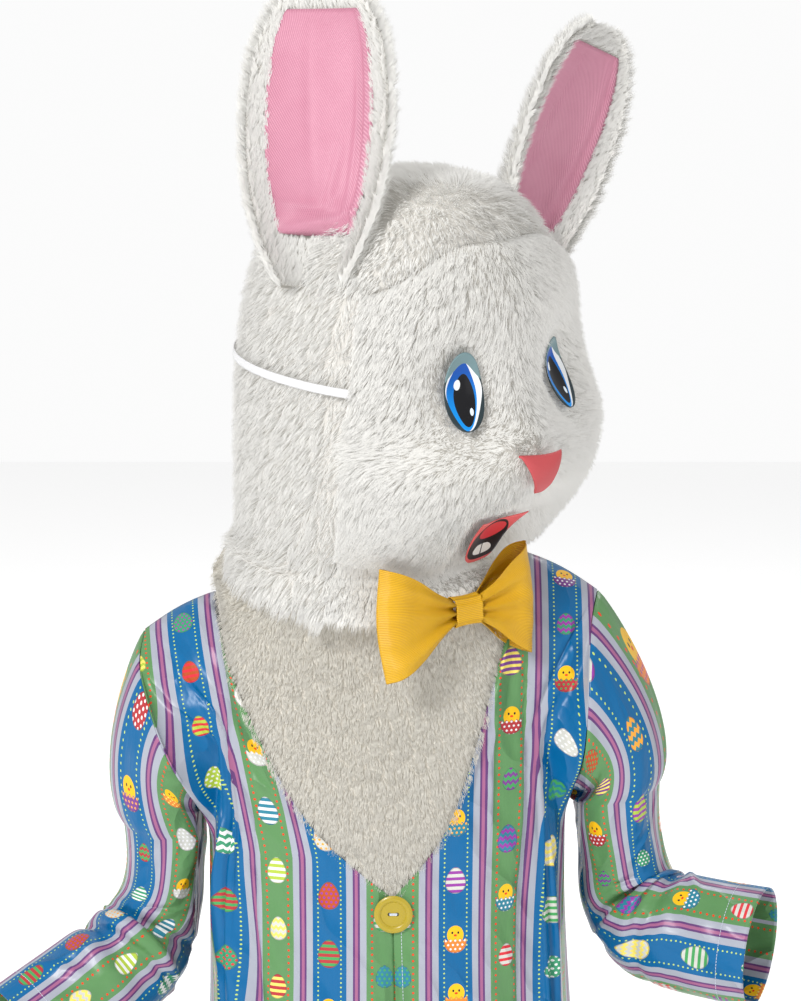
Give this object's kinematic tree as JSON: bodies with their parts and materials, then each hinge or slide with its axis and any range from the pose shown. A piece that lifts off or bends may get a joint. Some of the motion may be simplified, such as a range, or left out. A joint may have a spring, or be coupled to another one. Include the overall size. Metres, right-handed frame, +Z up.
{
  "type": "easter bunny costume",
  "caption": "Rabbit mask with lined ears, fur bib and bow tie, worn with a striped satin jacket with set-in sleeves and a button front.",
  "frame": {"origin": "middle of the jacket's neck opening, at the height where the wearer's shoulders carry it", "axes": "+Z up along the wearer, -Y towards the wearer's front, +X to the wearer's left"},
  "size_m": [0.7961, 0.3651, 1.3328],
  "materials": {
    "white_plush": "long pile plush",
    "cream_plush": "short pile plush",
    "striped_satin": "printed satin",
    "pink_satin": "satin",
    "yellow_ribbon": "ribbed satin ribbon",
    "mustard_plastic": "moulded",
    "printed_eye": "printed gloss",
    "printed_mouth": "printed",
    "coral_nose": "satin",
    "white_elastic": "woven elastic"
  },
  "bodies": {
    "root": {"mask_hood": "white_plush", "mask_face": "white_plush", "mask_throat": "white_plush", "ear_left": "white_plush", "ear_right": "white_plush", "ear_lining_left": "pink_satin", "ear_lining_right": "pink_satin", "eye_left": "printed_eye", "eye_right": "printed_eye", "nose": "coral_nose", "mouth": "printed_mouth", "elastic_strap": "white_elastic", "bow_loop_left": "yellow_ribbon", "bow_loop_right": "yellow_ribbon", "bow_knot": "yellow_ribbon", "bib": "cream_plush", "jacket_front_left": "striped_satin", "jacket_front_right": "striped_satin", "jacket_back": "striped_satin", "sleeve_left": "striped_satin", "sleeve_right": "striped_satin", "button_1": "mustard_plastic", "button_2": "mustard_plastic", "button_3": "mustard_plastic"}
  },
  "joints": []
}
